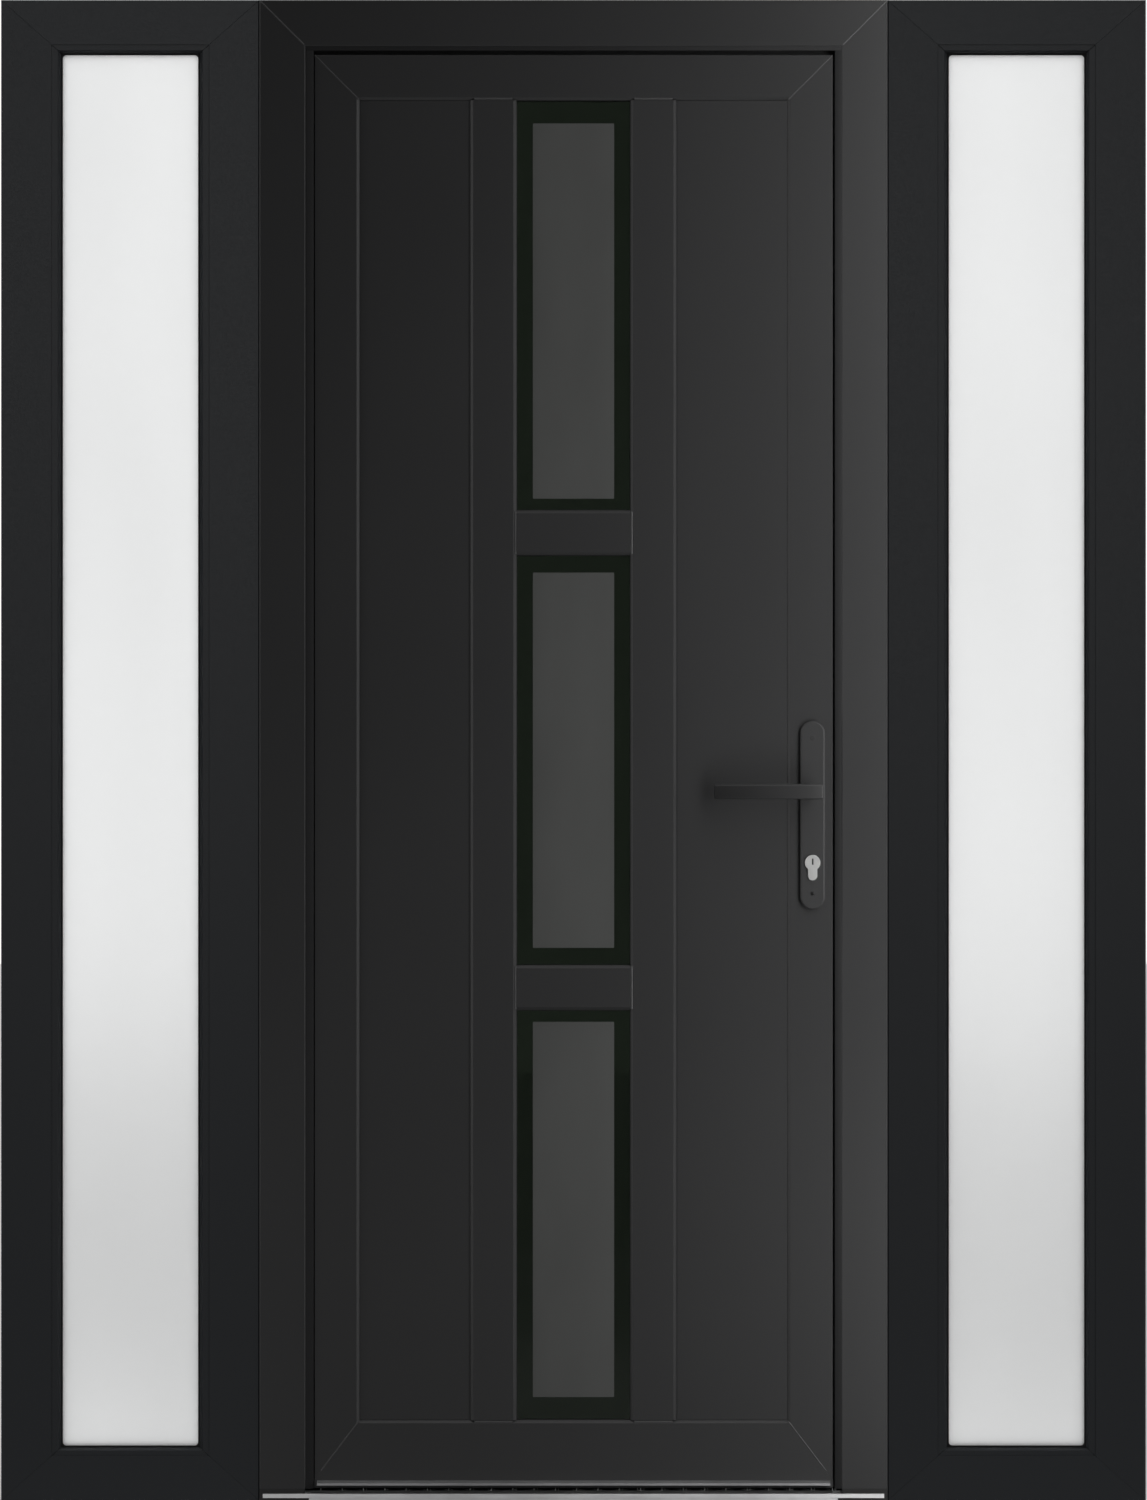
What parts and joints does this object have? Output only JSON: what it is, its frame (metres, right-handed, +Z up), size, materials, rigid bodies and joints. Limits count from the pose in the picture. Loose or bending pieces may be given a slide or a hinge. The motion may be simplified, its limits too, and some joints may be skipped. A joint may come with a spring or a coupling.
{
  "type": "entrance door with sidelights",
  "caption": "Inward-opening aluminium entrance door with stacked glass lites, in a mitred frame between tall fixed sidelights of milky glass.",
  "frame": {"origin": "centre of the threshold's underside, midway along it and midway between the door frame's outside and inside faces", "axes": "+X to the right seen from outside, +Y from the outside to the inside, +Z up"},
  "size_m": [1.64, 0.178, 2.15],
  "materials": {
    "door_frame_coating": "satin",
    "leaf_coating": "satin",
    "panel_coating": "satin",
    "sidelight_coating": "satin",
    "milky_glass": "satin",
    "lite_glass": "gloss",
    "seal_rubber": "matt",
    "threshold_metal": "satin",
    "cap_plastic": "matt",
    "drip_metal": "satin",
    "brush_pile": "matt",
    "hinge_coating": "satin",
    "pin_steel": "satin",
    "handle_coating": "satin",
    "cylinder_nickel": "satin",
    "lock_steel": "satin"
  },
  "bodies": {
    "frame": {"hinge_jamb": "door_frame_coating", "lock_jamb": "door_frame_coating", "frame_head": "door_frame_coating", "left_light_outer_stile": "sidelight_coating", "left_light_inner_stile": "sidelight_coating", "left_light_head": "sidelight_coating", "left_light_sill": "sidelight_coating", "left_light_beads": "sidelight_coating", "right_light_outer_stile": "sidelight_coating", "right_light_inner_stile": "sidelight_coating", "right_light_head": "sidelight_coating", "right_light_sill": "sidelight_coating", "right_light_beads": "sidelight_coating", "left_light_glass": "milky_glass", "right_light_glass": "milky_glass", "frame_seal": "seal_rubber", "left_light_seals": "seal_rubber", "right_light_seals": "seal_rubber", "threshold": "threshold_metal", "threshold_end_caps": "cap_plastic", "coupling_tongues": "cap_plastic", "hinge_frame_halves": "hinge_coating", "hinge_pins": "pin_steel", "strike_plate": "lock_steel"},
    "leaf": {"leaf_hinge_stile": "leaf_coating", "leaf_lock_stile": "leaf_coating", "leaf_top_rail": "leaf_coating", "leaf_bottom_rail": "leaf_coating", "left_mullion": "leaf_coating", "right_mullion": "leaf_coating", "transoms": "leaf_coating", "lite_beads": "leaf_coating", "panel_beads": "leaf_coating", "side_panels": "panel_coating", "bottom_lite_glass": "lite_glass", "middle_lite_glass": "lite_glass", "top_lite_glass": "lite_glass", "leaf_seals": "seal_rubber", "drip_bar": "drip_metal", "bottom_brush": "brush_pile", "hinge_leaf_halves": "hinge_coating", "outside_plate": "handle_coating", "inside_plate": "handle_coating", "lock_cylinder": "cylinder_nickel", "lock_faceplate": "lock_steel", "lock_bolts": "lock_steel"},
    "handle": {"outside_lever": "handle_coating", "inside_lever": "handle_coating", "spindle": "pin_steel"},
    "plug": {"cylinder_plug": "cylinder_nickel"}
  },
  "joints": [
    {"name": "door_swing", "type": "hinge", "parent": "frame", "child": "leaf", "pos_m": [-0.3925, 0.0502, 1.09], "axis": [0, 0, 1], "range_deg": [0, 95]},
    {"name": "lever_turn", "type": "hinge", "parent": "leaf", "child": "handle", "pos_m": [0.3425, 0, 1.016], "axis": [0, -1, 0], "range_deg": [0, 45], "stiffness_Nm_per_rad": 1, "springref_deg": -34.38},
    {"name": "key_turn", "type": "hinge", "parent": "leaf", "child": "plug", "pos_m": [0.3425, -0.03, 0.914], "axis": [0, 1, 0], "continuous": true}
  ]
}
